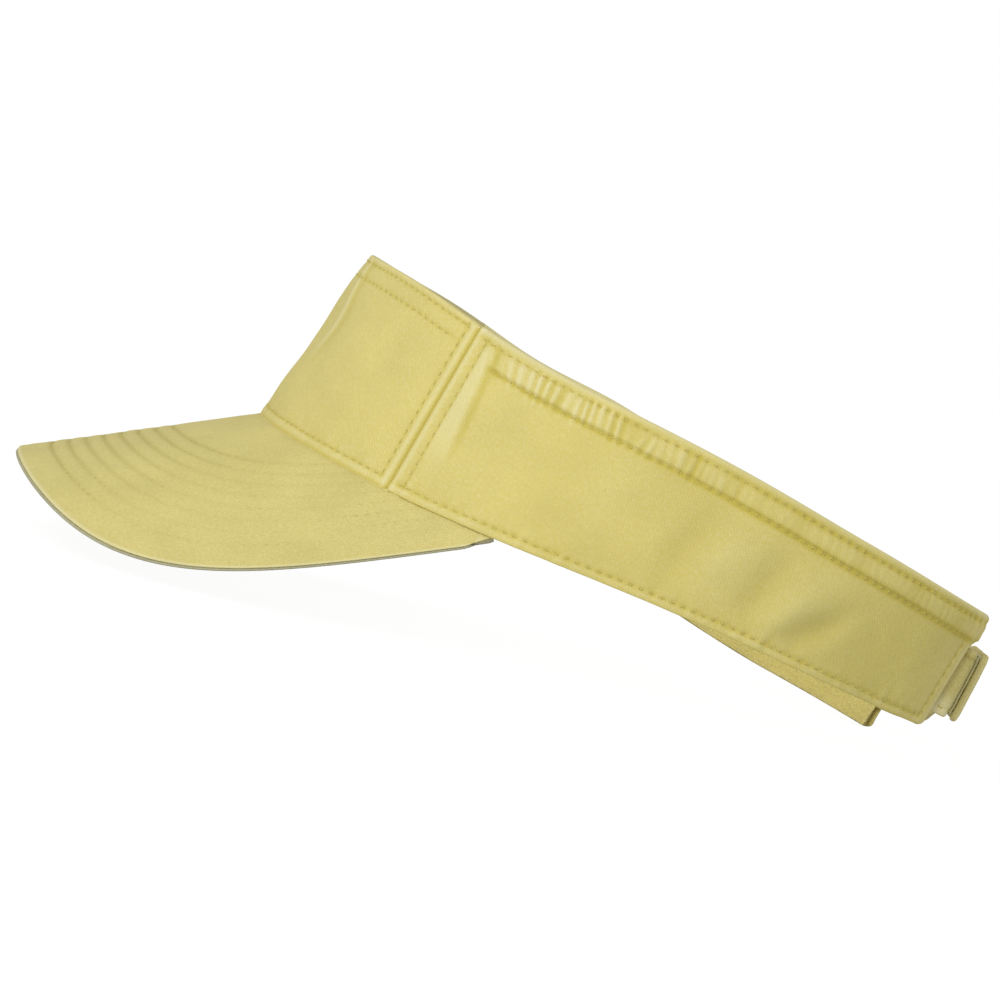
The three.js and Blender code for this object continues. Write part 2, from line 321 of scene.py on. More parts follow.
def cloth(name, front, back, fabric, tone, slot, material=None, edge_tone=0.3, end_tone=0.3):
    """A closed sheet between two grids of points, columns by rows, with every edge rounded.

    Seen from the front, the columns run to the right and the rows up. fabric is a grid of places in the
    cloth, in millimetres, that the weave is drawn from. tone is a grid for the front that is above 0 where
    the cloth is rubbed pale and where highlights are painted, and below 0 where shade is painted in stitch
    grooves, seams, folds and under edges; edge_tone and end_tone are the tones of its rounded long edges
    and of its two ends, rubbed paleness with painted highlight above 0 and painted shade below 0.
    """
    columns, rows = front.shape[:2]
    rings = section_rings(front, back)
    count = rings.shape[1]
    opposite = (2 * rows + EDGE_POINTS - 1 - np.arange(count)) % count
    first = close_end(rings[0], rings[1], opposite)
    last = close_end(rings[-1], rings[-2], opposite)
    points = np.concatenate([np.stack(first[::-1]), rings, np.stack(last)])

    edge = np.zeros((1, count, 1))
    edge[:, rows - 1:rows + EDGE_POINTS + 1] = 1
    edge[:, 2 * rows + EDGE_POINTS - 1:] = 1
    place = around(fabric, fabric)
    side = around(np.zeros((columns, rows, 1)), np.full((columns, rows, 1), BACK_WEAVE))
    # The rounded edges: rubbed pale with a painted highlight where edge_tone is above 0, painted shade where
    # it is below 0.
    edge_wear_and_painted_light = edge_tone * (1 + 0.6 * noise(place[..., :1] / 6, place[..., 1:] / 6, 3))
    front_tone = around(tone[..., None], np.zeros((columns, rows, 1)))
    values = np.concatenate([place, side, lerp(front_tone, edge_wear_and_painted_light, edge)], axis=-1)
    values = np.concatenate([values[:1]] * END_RINGS + [values] + [values[-1:]] * END_RINGS)
    # The ends likewise: painted shade where end_tone is below 0, paler where it is above 0.
    values[:END_RINGS, :, 3] = end_tone
    values[-END_RINGS:, :, 3] = end_tone

    total = len(points)
    index = np.arange(total * count).reshape(total, count)
    after = np.roll(index, -1, axis=1)
    sides = np.stack([index[:-1], index[1:], after[1:], after[:-1]], axis=-1).reshape(-1, 4)
    pairs = (np.arange(rows + EDGE_POINTS) - EDGE_POINTS // 2) % count
    caps = []
    for ring, flip in ((index[0], False), (index[-1], True)):
        a, b = ring[pairs], ring[opposite[pairs]]
        strip = np.stack([a[:-1], a[1:], b[1:], b[:-1]], axis=-1)
        caps.append(strip[:, ::-1] if flip else strip)
    faces = np.concatenate([sides, *caps])
    return make_mesh(name, points.reshape(-1, 3), faces.tolist(), values.reshape(-1, 4), slot, material)


def add_object(name, data):
    made = bpy.data.objects.new(name, data)
    bpy.context.scene.collection.objects.link(made)
    return made


def make_mesh(name, points, faces, values, slot, material=None):
    """A smooth mesh object from worn points, with its place in the cloth and its tone as attributes.

    It has the material that is named as its slot is, unless another is given."""
    mesh = bpy.data.meshes.new(name)
    mesh.from_pydata(to_frame(points).tolist(), [], faces)
    mesh.polygons.foreach_set("use_smooth", [True] * len(mesh.polygons))
    place = mesh.attributes.new("fabric", "FLOAT_VECTOR", "POINT")
    place.data.foreach_set("vector", values[:, :3].astype(np.float32).ravel())
    tone = mesh.attributes.new("tone", "FLOAT", "POINT")
    tone.data.foreach_set("value", values[:, 3].astype(np.float32))
    mesh.materials.append(materials[material or slot])
    mesh.update()
    piece = add_object(name, mesh)
    return piece


# ------------ stitch lines

class Line:
    """A line of stitches on the band.

    first and second are its points' angles and heights. distance and along are functions of an angle and a
    height: how far that place is from the line, and how far along the line it is.
    """

    def __init__(self, first, second, distance, along):
        self.first = first
        self.second = second
        self.distance = distance
        self.along = along

    def groove(self, a, b, depth=0.3, width=0.7):
        """How far the thread pulls the cloth in, more at each needle hole."""
        pull = 0.75 + 0.25 * np.cos(2 * pi * self.along(a, b) / STITCH_PITCH)
        return depth * pull * np.exp(-((self.distance(a, b) / width) ** 2))


def line_along(height, start, end):
    """A line round the band between two angles; height is a function of the angle."""
    lengths = np.linspace(arc_length(start), arc_length(end), 400)
    angles = angle_at(lengths)

    def distance(angle, h):
        s = arc_length(angle)
        past = np.maximum(np.maximum(lengths[0] - s, s - lengths[-1]), 0)
        return np.hypot(h - height(angle), past)

    return Line(angles, height(angles), distance, lambda angle, h: arc_length(angle) - lengths[0])


def line_across(angle_of, low, high):
    """A line up the band; angle_of gives the angle at a share of the height, low and high are in mm."""
    heights = np.linspace(low, high, 120)
    angles = angle_of(heights / band_height(angle_of(0.5)))

    def distance(angle, h):
        share = h / band_height(angle)
        sideways = arc_length(angle) - arc_length(angle_of(share))
        past = np.maximum(np.maximum(low - h, h - high), 0)
        return np.hypot(sideways, past)

    return Line(angles, heights, distance, lambda angle, h: h - low)


def stitches(name, lines, radius, slot, thread="thread", seed=5):
    """One mesh of short thread arches, for lines given as (points, outward normals) of a surface."""
    random = np.random.default_rng(seed)
    sides = 8
    spots = np.linspace(0, 1, 7)
    ring_turns = np.linspace(0, 2 * pi, sides, endpoint=False)
    taper = np.sqrt(np.maximum(1 - (2 * spots - 1) ** 4, 0.02))
    lift = radius * (1.3 * np.sin(pi * spots) - 0.6)
    points, faces, values = [], [], []
    made = 0
    for path, normal in lines:
        length = run_length(path)
        starts = np.arange(0.4, length[-1] - STITCH_LENGTH, STITCH_PITCH)
        for start in starts:
            size = STITCH_LENGTH * random.uniform(0.93, 1.05)
            where = start + size * spots
            centre = sample(path, length, where)
            up = unit(sample(normal, length, where))
            ahead = unit(np.gradient(centre, axis=0))
            across = unit(np.cross(up, ahead))
            sway = random.uniform(-0.09, 0.09) * np.linspace(-1, 1, len(spots))
            centre = centre + up * lift[:, None] + across * sway[:, None]
            offsets = (across[:, None] * np.cos(ring_turns)[None, :, None]
                       + up[:, None] * 0.8 * np.sin(ring_turns)[None, :, None])
            rings = centre[:, None] + offsets * (radius * taper)[:, None, None]
            points.append(rings.reshape(-1, 3))
            index = made + np.arange(len(spots) * sides).reshape(len(spots), sides)
            after = np.roll(index, -1, axis=1)
            faces += np.stack([index[:-1], after[:-1], after[1:], index[1:]], axis=-1).reshape(-1, 4).tolist()
            faces += [index[0][::-1].tolist(), index[-1].tolist()]
            twist = np.broadcast_to(ring_turns[None], (len(spots), sides)).ravel()
            run = np.repeat(where, sides)
            values.append(np.stack([run, twist, np.full(len(run), start), np.zeros(len(run))], axis=1))
            made += len(run)
    return make_mesh(name, np.concatenate(points), faces, np.concatenate(values), slot, thread)


def band_path(line, depth_at):
    """A stitch line's points on the band and its outward normals."""
    depth = depth_at(line.first, line.second)
    path = band_point(line.first, line.second, depth)
    below = band_point(line.first, line.second, depth + 1)
    return path, unit(path - below)


# ------------ materials

def linear(red, green, blue):
    """A colour given as 0 to 255 on screen, as the renderer counts light."""
    def one(value):
        share = value / 255
        return share / 12.92 if share <= 0.04045 else ((share + 0.055) / 1.055) ** 2.4
    return one(red), one(green), one(blue)


def scaled(colour, factor):
    return tuple(min(value * factor, 1) for value in colour)


materials = {}


class Surface:
    """The node tree of one material, with the operations that the materials below are made of."""

    def __init__(self, name, sheen, sheen_tint):
        materials[name] = bpy.data.materials.new(name)
        materials[name].use_nodes = True
        self.tree = materials[name].node_tree
        self.inputs = self.tree.nodes["Principled BSDF"].inputs
        self.feed(self.inputs["Specular IOR Level"], 0.22)
        self.feed(self.inputs["Sheen Weight"], sheen)
        self.feed(self.inputs["Sheen Roughness"], 0.55)
        self.feed(self.inputs["Sheen Tint"], sheen_tint)

    def feed(self, socket, value):
        """Set a socket to a number or a colour, or link it to another node's output."""
        if isinstance(value, (int, float)):
            socket.default_value = value
        elif isinstance(value, tuple):
            socket.default_value = (*value, 1)
        else:
            self.tree.links.new(value, socket)

    def make(self, kind, output, inputs, **settings):
        made = self.tree.nodes.new(kind)
        for key, value in settings.items():
            setattr(made, key, value)
        for key, value in inputs.items():
            self.feed(made.inputs[key], value)
        return made.outputs[output]

    def add(self, a, b):
        return self.make("ShaderNodeMath", 0, {0: a, 1: b}, operation="ADD")

    def times(self, a, b):
        return self.make("ShaderNodeMath", 0, {0: a, 1: b}, operation="MULTIPLY")

    def larger(self, a, b):
        return self.make("ShaderNodeMath", 0, {0: a, 1: b}, operation="MAXIMUM")

    def sine(self, angle):
        return self.make("ShaderNodeMath", 0, {0: angle}, operation="SINE")

    def wave(self, value, period):
        return self.sine(self.times(value, 2 * pi / period))

    def mix(self, factor, a, b):
        return self.make("ShaderNodeMix", 2, {0: factor, 6: a, 7: b}, data_type="RGBA")

    def level(self, value, low, high, new_low, new_high):
        """The value with the range from low to high spread over the new range, and cut off beyond it."""
        ends = {"From Min": low, "From Max": high, "To Min": new_low, "To Max": new_high}
        return self.make("ShaderNodeMapRange", "Result", {"Value": value, **ends})

    def noise(self, vector, scale, detail=2, roughness=0.5):
        grain = {"Vector": vector, "Scale": scale, "Detail": detail, "Roughness": roughness}
        return self.make("ShaderNodeTexNoise", "Fac", grain)

    def fabric(self):
        """The place in the cloth, how far it is along and across the cloth, and the tone there."""
        place = self.make("ShaderNodeAttribute", "Vector", {}, attribute_name="fabric")
        tone = self.make("ShaderNodeAttribute", "Fac", {}, attribute_name="tone")
        split = self.tree.nodes.new("ShaderNodeSeparateXYZ")
        self.feed(split.inputs[0], place)
        return place, split.outputs[0], split.outputs[1], tone

    def finish(self, colour, grain, smoothest, roughest, height, relief):
        """Colour, roughness that follows the grain, and relief in millimetres that follows the height."""
        self.feed(self.inputs["Base Color"], colour)
        self.feed(self.inputs["Roughness"], self.level(grain, 0.2, 0.8, smoothest, roughest))
        bumps = {"Strength": 1.0, "Distance": relief / 1000, "Height": height}
        self.feed(self.inputs["Normal"], self.make("ShaderNodeBump", "Normal", bumps))


TWILL_THREAD = 0.5  # pitch of the threads


def twill(name, colour, pale, dark):
    """Washed cotton twill: diagonal ribs of crossing threads, soft fading, pale rubbed edges with painted
    highlights, and painted shade where the tone is below 0.
    """
    surface = Surface(name, 0.25, pale)
    place, along, across, tone = surface.fabric()
    level, mix, noise_at = surface.level, surface.mix, surface.noise

    stray = level(noise_at(place, 0.9), 0, 1, -0.35, 0.35)
    diagonal = surface.add(surface.add(along, across), stray)
    ribs = surface.wave(diagonal, 2 * TWILL_THREAD)
    crossing = surface.times(surface.wave(along, TWILL_THREAD), surface.wave(across, TWILL_THREAD))
    weave = surface.add(surface.times(ribs, 0.6), surface.times(crossing, 0.4))
    fibre = noise_at(place, 3.2, 3, 0.7)
    height = surface.add(surface.times(weave, 0.5), surface.times(fibre, 0.9))

    cloud = level(noise_at(place, 0.05, 3, 0.55), 0.3, 0.7, 0, 1)
    speckle = level(noise_at(place, 0.8, 4, 0.75), 0.36, 0.64, 0, 0.34)
    fading = level(noise_at(place, 1.4, 3, 0.7), 0.5, 0.75, 0, 0.42)
    base = mix(cloud, scaled(colour, 0.93), scaled(colour, 1.07))
    spotted = mix(speckle, base, scaled(dark, 1.12))
    faded = mix(fading, spotted, pale)
    threads = mix(level(weave, -1, 1, 0.12, 0), faded, dark)
    # Paler where the tone is above 0: rubbed edges and painted highlights.
    rubbed_and_highlit = mix(level(tone, 0, 1, 0, 0.75), threads, pale)
    # Darker where the tone is below 0: painted shade in grooves, seams, folds and under edges.
    with_painted_shade = mix(level(tone, -1, 0, 0.85, 0), rubbed_and_highlit, dark)
    surface.finish(with_painted_shade, fibre, 0.82, 0.98, height, 0.09)


def terry(name, colour, pale, dark):
    """Looped towelling."""
    surface = Surface(name, 0.4, pale)
    place, _, _, tone = surface.fabric()
    cells = surface.make("ShaderNodeTexVoronoi", "Distance", {"Vector": place, "Scale": 1.1})
    loops = surface.level(cells, 0, 0.7, 1, 0)
    fuzz = surface.noise(place, 2.6, 4, 0.7)
    cloud = surface.level(surface.noise(place, 0.07, 3), 0.3, 0.7, 0, 1)
    base = surface.mix(cloud, scaled(colour, 0.93), scaled(colour, 1.05))
    tufted = surface.mix(surface.level(loops, 0, 1, 0.35, 0), base, dark)
    tipped = surface.mix(surface.level(fuzz, 0.5, 0.8, 0, 0.5), tufted, pale)
    # Paler at the rounded edges and ends: rubbed, with painted highlight.
    rubbed_and_highlit = surface.mix(surface.level(tone, 0, 1, 0, 0.5), tipped, pale)
    height = surface.add(surface.times(loops, 0.8), surface.times(fuzz, 0.5))
    surface.finish(rubbed_and_highlit, fuzz, 0.86, 1.0, height, 0.4)


def open_weave(name, colour, dark, thread, relief, sheen=0.15):
    """A plain weave of separate threads, such as buckram or braided elastic."""
    surface = Surface(name, sheen, colour)
    place, along, across, tone = surface.fabric()
    threads = surface.larger(surface.wave(along, thread), surface.wave(across, thread))
    grain = surface.noise(place, 2.5, 3, 0.65)
    base = surface.mix(surface.level(threads, -0.6, 0.6, 0.6, 0), colour, dark)
    uneven = surface.mix(surface.level(grain, 0.4, 0.7, 0, 0.25), base, scaled(dark, 1.1))
    # Paler at the rounded edges and ends: rubbed, with painted highlight.
    rubbed_and_highlit = surface.mix(surface.level(tone, 0, 1, 0, 0.5), uneven, colour)
    surface.finish(rubbed_and_highlit, grain, 0.7, 0.9, surface.add(threads, grain), relief)


def sewing_thread(name, colour, pale):
    """Twisted sewing thread."""
    surface = Surface(name, 0.2, pale)
    place, along, around_it, _ = surface.fabric()
    ply = surface.sine(surface.add(surface.times(along, 9.0), around_it))
    grain = surface.noise(place, 4.0)
    base = surface.mix(surface.level(ply, -1, 1, 0, 0.5), colour, scaled(colour, 0.72))
    uneven = surface.mix(surface.level(grain, 0.45, 0.7, 0, 0.4), base, pale)
    surface.finish(uneven, grain, 0.5, 0.75, ply, 0.06)


def moulded_plastic(name, colour):
    """The bill's board and the hooks."""
    surface = Surface(name, 0.0, colour)
    where = surface.make("ShaderNodeTexCoord", "Object", {})
    grain = surface.noise(where, 900, 3)
    clouded = surface.mix(surface.noise(where, 60), colour, scaled(colour, 0.9))
    surface.finish(clouded, grain, 0.42, 0.62, grain, 0.03)


LEMON = linear(216, 202, 128)
LEMON_PALE = linear(232, 225, 178)
LEMON_DARK = linear(192, 176, 72)

twill("cover_twill", linear(214, 201, 128), LEMON_PALE, linear(180, 166, 88))
twill("rim_twill", linear(180, 178, 148), linear(205, 199, 168), linear(140, 132, 92))
twill("panel_twill", LEMON, LEMON_PALE, LEMON_DARK)
twill("facing_twill", linear(204, 192, 124), linear(236, 232, 206), linear(160, 146, 76))
twill("lining_twill", linear(205, 190, 112), LEMON_PALE, linear(160, 145, 66))
twill("strap_twill", linear(206, 194, 122), linear(230, 222, 174), linear(158, 146, 72))
# The towelling's colour is made lighter than the cloth's, as painted light on the shaded inside of the band.
terry("terry", linear(248, 232, 144), linear(252, 244, 190), linear(222, 202, 104))
terry("loop_pile", linear(210, 200, 138), linear(228, 220, 172), linear(170, 158, 96))
open_weave("buckram", linear(232, 229, 216), linear(184, 180, 160), 1.1, 0.2)
open_weave("elastic", linear(238, 235, 224), linear(196, 192, 176), 0.9, 0.2)
open_weave("satin", linear(240, 238, 230), linear(220, 216, 204), 0.3, 0.03, 0.4)
sewing_thread("thread", linear(208, 192, 100), linear(222, 210, 134))
sewing_thread("bill_thread", linear(206, 192, 118), linear(216, 204, 138))
moulded_plastic("board_plastic", linear(232, 232, 228))
moulded_plastic("hook_plastic", linear(214, 208, 176))

# ------------ the bill

FORWARD = np.array([0, -cos(BILL_DIP), -sin(BILL_DIP)])
UPWARD = np.array([0, -sin(BILL_DIP), cos(BILL_DIP)])


def root_point(angle):
    x = BAND_WIDTH / 2 * np.sin(angle)
    y = -BAND_LENGTH / 2 * np.cos(angle)
    return np.stack([x, y, lower_edge(angle)], axis=-1)


def root_reach(angle):
    return (root_point(angle) - root_point(np.array(0.0))) @ FORWARD


def bill_normal(angle):
    step = 0.001
    along = root_point(angle + step) - root_point(angle - step)
    sideways = np.array([1.0, 0, 0])
    return unit(along[..., :1] * UPWARD - (along @ UPWARD)[..., None] * sideways)


def bill_point(angle, reach, depth):
    ahead = (reach - root_reach(angle))[..., None]
    return root_point(angle) + ahead * FORWARD - depth[..., None] * bill_normal(angle)


def bill_edge(turn_angle, inset):
    """Angle and reach on the curve that lies this far inside the bill's edge."""
    sideways = np.sign(turn_angle) * np.abs(np.sin(turn_angle)) ** (2 / BILL_SIDE_POWER)
    forwards = np.cos(turn_angle) ** (2 / BILL_TIP_POWER)
    angle = (BILL_HALF_ANGLE - inset / (BAND_WIDTH / 2)) * sideways
    return angle, lerp(BILL_ROOT, BILL_REACH - inset, forwards)


def bill_inset(angle, reach):
    """How far inside the bill's edge a place is."""
    low = np.zeros_like(angle) - 2
    high = np.full_like(angle, 60.0)
    for _ in range(24):
        middle = (low + high) / 2
        across = np.abs(angle) / np.maximum(BILL_HALF_ANGLE - middle / (BAND_WIDTH / 2), 0.05)
        ahead = np.maximum(reach - BILL_ROOT, 0) / (BILL_REACH - middle - BILL_ROOT)
        outside = across ** BILL_SIDE_POWER + ahead ** BILL_TIP_POWER > 1
        high = np.where(outside, middle, high)
        low = np.where(outside, low, middle)
    return (low + high) / 2


LAST_TURN = radians(89)  # of the superellipse, just short of its ends


def even_turns(columns):
    """Turns of the superellipse that are even along the bill's edge, and how far each is from its end."""
    turns = np.linspace(-LAST_TURN, LAST_TURN, 8001)
    angle, reach = bill_edge(turns, 0)
    length = run_length(bill_point(angle, reach, np.zeros_like(angle)))
    even = np.linspace(0, length[-1], columns)
    return np.interp(even, length, turns)[:, None], np.minimum(even, length[-1] - even)[:, None]


def bill_grid(columns, rows, edge_inset, root_clearance):
    """Places on the bill as an angle and a reach, and how far each is in from the edge."""
    turns, from_end = even_turns(columns)
    v = np.linspace(0, 1, rows)[None] ** 1.2
    corner = corner_cut(from_end, BILL_CORNER)
    edge_angle, edge_reach = bill_edge(turns, edge_inset + corner)
    root_angle = BILL_ROOT_HALF_ANGLE * np.sign(turns) * np.abs(np.sin(turns)) ** (2 / BILL_SIDE_POWER)
    angle = lerp(edge_angle, root_angle, v)
    reach = lerp(edge_reach, root_reach(root_angle) + root_clearance, v)
    return angle, reach, bill_inset(angle, reach) - corner


ROW_INSETS = [FIRST_ROW + ROW_SPACING * row for row in range(BILL_ROWS)]
BILL_COLUMNS, BILL_STEPS = 300, 126
EDGE_THICKNESS = 1.3
COVER_CLOTH = 0.5
BILL_CORNER = 4.0  # radius of the rounding where the edge meets the band


def row_strength(angle):
    """The rows and the shade painted in them show most along the middle of the bill; to the sides the cloth
    lies flatter over them and the painted shade is fainter.
    """
    return lerp(0.05, 1.0, bump(angle, 0, radians(31)))


def bill_quilting(angle, reach, inset):
    """Height of the padded cloth between the rows of stitches, and how near a row is."""
    run = (BAND_WIDTH / 2) * angle + 0.4 * reach
    pull = 0.8 + 0.2 * np.cos(2 * pi * run / STITCH_PITCH)
    rows = sum(bump(inset, row, 0.8) for row in ROW_INSETS) * row_strength(angle)
    soft = 0.1 * noise(run / 9, reach / 9, 11) + 0.05 * noise(run / 2.5, reach / 2.5, 12)
    return soft - 0.27 * rows * pull, rows


def edge_together(inset):
    """1 at the edge, where the two covers meet, and 0 over the board."""
    return 1 - smoothstep(inset, 1.0, 2.6)


def bill_layer(edge_inset):
    """A cover's grid: angle, reach, inset, quilting, nearness to the edge and place in the cloth."""
    angle, reach, inset = bill_grid(BILL_COLUMNS, BILL_STEPS, edge_inset, 0.2)
    puff, rows = bill_quilting(angle, reach, inset)
    fabric = np.stack([BAND_WIDTH / 2 * angle, reach], axis=-1)
    return angle, reach, inset, puff, rows, edge_together(inset), fabric


def bill_top():
    angle, reach, inset, puff, rows, together, fabric = bill_layer(0.85)
    at_band = np.exp(-((reach - root_reach(angle)) / 1.1) ** 2)
    # Tone: a pale line by the folded edge, rubbed and with painted highlight; painted shade in the rows'
    # grooves and where the bill meets the band.
    tone = 0.7 * bump(inset, 1.0, 0.5) - 0.9 * rows - 0.7 * at_band
    front = bill_point(angle, reach, lerp(0.3 - puff, 0.2, together))
    back = bill_point(angle, reach, lerp(0.82, 0.2 + COVER_CLOTH, together))
    # Its rounded edge is rubbed pale with a painted highlight.
    top = cloth("bill_cover_top", front, back, fabric, tone, "cover_twill", edge_tone=0.7)
    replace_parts(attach(top, "front"), "bill_top_cover")


def bill_underside():
    """At the edge it meets the top cover and shows as a thin darker rim. Its rows' grooves, rounded edges and
    ends are darkened with painted shade.
    """
    angle, reach, _, puff, rows, together, fabric = bill_layer(0.2)
    lower_face = lerp(BILL_THICKNESS + 0.6 * puff, EDGE_THICKNESS, together)
    upper_face = lerp(BILL_THICKNESS - 0.55, EDGE_THICKNESS - COVER_CLOTH, together)
    front = bill_point(angle, reach, lower_face)[::-1]
    back = bill_point(angle, reach, upper_face)[::-1]
    under = cloth("bill_cover_under", front, back, fabric[::-1], -0.5 * rows[::-1], "rim_twill",
                  edge_tone=-0.1, end_tone=-0.1)
    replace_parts(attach(under, "front"), "bill_under_cover")


def bill_stitching():
    paths = []
    for inset in ROW_INSETS:
        turns = np.linspace(-LAST_TURN, LAST_TURN, 6001)
        angle, reach = bill_edge(turns, inset)
        inside = reach > root_reach(angle) + 1.5
        angle, reach = angle[inside], reach[inside]
        for depth, side in ((0.5, 1), (BILL_THICKNESS - 0.1, -1)):
            path = bill_point(angle, reach, np.full_like(angle, depth))
            paths.append((path, side * bill_normal(angle)))
    made = stitches("bill_stitching", paths, BILL_THREAD, "cover_twill", "bill_thread")
    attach(made, "front")


# ------------ pieces that lie on the band

def band_grid(start, end, foot, top, columns, rows):
    """Angles and heights of a piece: start and end are functions of the share of the height,
    foot and top functions of the angle."""
    u = np.linspace(0, 1, columns)[:, None]
    v = np.linspace(0, 1, rows)[None]
    near = lerp(start(v), end(v), u)
    height = lerp(foot(near), top(near), v)
    share = height / band_height(near)
    angle = lerp(start(share), end(share), u)
    return angle, share * band_height(angle)


def band_piece(name, node_name, body, span, foot, top, depths, spacing, slot, relief=None):
    """A simple layer of the band, between two depths, with a little unevenness of its own."""
    start, end = span
    outer, inner = depths
    length = abs(arc_length(end(0.5)) - arc_length(start(0.5)))
    height = float(np.mean(top(end(0.5)) - foot(end(0.5))))
    columns = max(int(length / spacing), 6)
    rows = max(int(height / spacing), 5)
    round_off = abs(inner - outer) / 2
    angle, h = band_grid(start, end, lambda a: foot(a) + round_off, lambda a: top(a) - round_off,
                         columns, rows)
    fabric = np.stack([arc_length(angle), h], axis=-1)
    uneven = 0.06 * noise(fabric[..., 0] / 7, h / 7, len(name))
    lift, tone = relief(angle, h) if relief else (0 * h, 0 * h)
    front = band_point(angle, h, outer - uneven)
    back = band_point(angle, h, inner - uneven + lift)
    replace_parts(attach(cloth(name, front, back, fabric, tone, slot), body), node_name)


def height_above(value):
    return lambda angle: value + 0 * angle


def below_top(value):
    return lambda angle: band_height(angle) - value


def sewn(height, seed):
    """The height of a stitch line, which wavers a little."""
    return lambda angle: height(angle) + 0.14 * noise(arc_length(angle) / 6, seed + 0.5 + 0 * angle, 3)


def fixed(angle):
    return lambda share: angle + 0 * share


# ------------ the front panel

FRONT_COLUMNS, FRONT_ROWS = 320, 110


def front_span():
    return (lambda share: -seam_angle(share) + SEAM_MARGIN, lambda share: seam_angle(share) - SEAM_MARGIN)


def front_lines():
    def beside_seam(share):
        return seam_angle(share) - FRONT_TOPSTITCH / SIDE_RADIUS

    return [
        line_along(sewn(height_above(FRONT_HEM), 1), -radians(49.4), radians(49.4)),
        line_along(sewn(below_top(1.6), 2), -radians(46.6), radians(46.6)),
        line_along(sewn(below_top(FACING_ROW), 3), -radians(46.4), radians(46.4)),
        line_across(beside_seam, FRONT_HEM, 48),
        line_across(lambda share: -beside_seam(share), FRONT_HEM, 46),
    ]


def seam_relief(distance):
    """A sewn seam: a narrow valley between two soft ridges. Gives its height and its tone, a painted
    highlight on the ridges and painted shade in the valley.
    """
    lift = 0.2 * bump(distance, 1.5, 0.8) - 0.45 * bump(distance, 0, 0.6)
    tone = 0.5 * bump(distance, 1.5, 0.7) - 1.0 * bump(distance, 0, 0.5)
    return lift, tone


def front_crease(angle, h):
    """The soft fold where each side of the stiff panel turns towards the forehead."""
    share = h / band_height(angle)
    line = radians(10) + radians(5) * bump(share, 0.62, 0.25)
    distance = (np.abs(angle) - line) * BAND_WIDTH / 2
    strength = smoothstep(share, 0.3, 0.6) * np.where(angle > 0, 1.0, 0.7)
    behind = np.exp(-np.abs(distance) / np.where(distance > 0, 2.6, 1.5))
    # Painted highlight along the crease's ridge and painted shade behind it.
    tone = 0.7 * bump(distance, -0.3, 1.8) - 0.4 * bump(distance, 3.2, 1.8)
    return strength * 0.6 * behind, strength * tone


def front_relief(lines, angle, h):
    """How far the front panel's face stands out, and its tone."""
    s = arc_length(angle)
    top = band_height(angle) - h
    share = h / band_height(angle)
    grooves = sum(line.groove(angle, h) for line in lines)
    seam_lift, seam_tone = seam_relief(np.abs(from_seam(angle, h)))
    crease_lift, crease_tone = front_crease(angle, h)
    brow = bump(share, 0.83, 0.2) + 0.45 * bump(share, 0.2, 0.12)
    hem = 0.12 * (1 - smoothstep(h, 2.4, 3.8)) + 0.12 * bump(h, 0.9, 0.8)
    fold = 0.12 * (1 - smoothstep(top, 0.8, 2.2))
    soft = 0.16 * noise(s / 16, h / 16, 21) + 0.07 * noise(s / 5, h / 5, 22)
    pucker = noise(s / 1.9, h / 6, 23) * bump(h, 2.4, 2.2)
    lift = (0.12 + soft + hem + fold + brow * bump(angle, 0, radians(24)) + seam_lift + crease_lift
            + 0.16 * pucker - grooves)
    # Tone: paler along the top edge and the hem's fold, rubbed and with painted highlight; painted shade
    # under the lower edge, in the seam, behind the crease and in the stitch grooves; painted light and shade
    # on the puckers.
    edges = 0.7 * bump(top, 0.1, 0.8) + 0.25 * bump(h, 1.2, 0.7) - 0.6 * bump(h, -0.3, 0.6)
    return lift, edges + seam_tone + crease_tone + 0.25 * pucker - 1.6 * grooves


def front_panel():
    lines = front_lines()
    start, end = front_span()
    angle, h = band_grid(start, end, height_above(-0.3), below_top(0.4), FRONT_COLUMNS, FRONT_ROWS)
    lift, tone = front_relief(lines, angle, h)
    fabric = np.stack([arc_length(angle), h], axis=-1)
    front = band_point(angle, h, -lift)
    back = band_point(angle, h, 0.8 + 0 * h)
    # Its ends, in the seams, get painted shade.
    panel = cloth("front_panel_cloth", front, back, fabric, tone, "panel_twill", end_tone=-0.8)
    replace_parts(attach(panel, "front"), "front_panel")
    paths = [band_path(line, lambda a, b: -front_relief(lines, a, b)[0]) for line in lines]
    made = stitches("front_stitching", paths, BAND_THREAD, "panel_twill", seed=6)
    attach(made, "front")


def sweatband_relief(angle, h):
    """Towelling that bulges a little between its seams."""
    s = arc_length(angle)
    loops = 0.22 * noise(s / 0.9, h / 0.9, 31) + 0.18 * noise(s / 5, h / 5, 32)
    return 0.25 + loops, 0 * h


def front_inside():
    span = front_span()
    band_piece("front_backing_cloth", "front_backing", "front", span, height_above(1.0), below_top(1.0),
               BACKING, 1.2, "buckram")
    band_piece("front_facing_cloth", "front_top_facing", "front", span, below_top(12.0), below_top(-0.15),
               FACING, 0.9, "facing_twill")
    band_piece("front_sweatband_cloth", "sweatband_front", "front", span, height_above(1.0),
               height_above(26.0), FRONT_SWEATBAND, 0.7, "terry", sweatband_relief)


# ------------ the side panels

FOLD_RADIUS = 1.0
PANEL_TOP_CLOTH = 0.6
CORNER_RADIUS = 2.4
CASING_STEP = 0.024  # radians that the casing's end reaches past the panel's
CASING_STITCH_END = 0.02  # radians from the panel's end to the end of the casing's stitches
PANEL_COLUMNS, PANEL_ROWS, FOLD_ROWS, TURNED_ROWS = 440, 100, 8, 12
GATHER_PITCH = 2.8


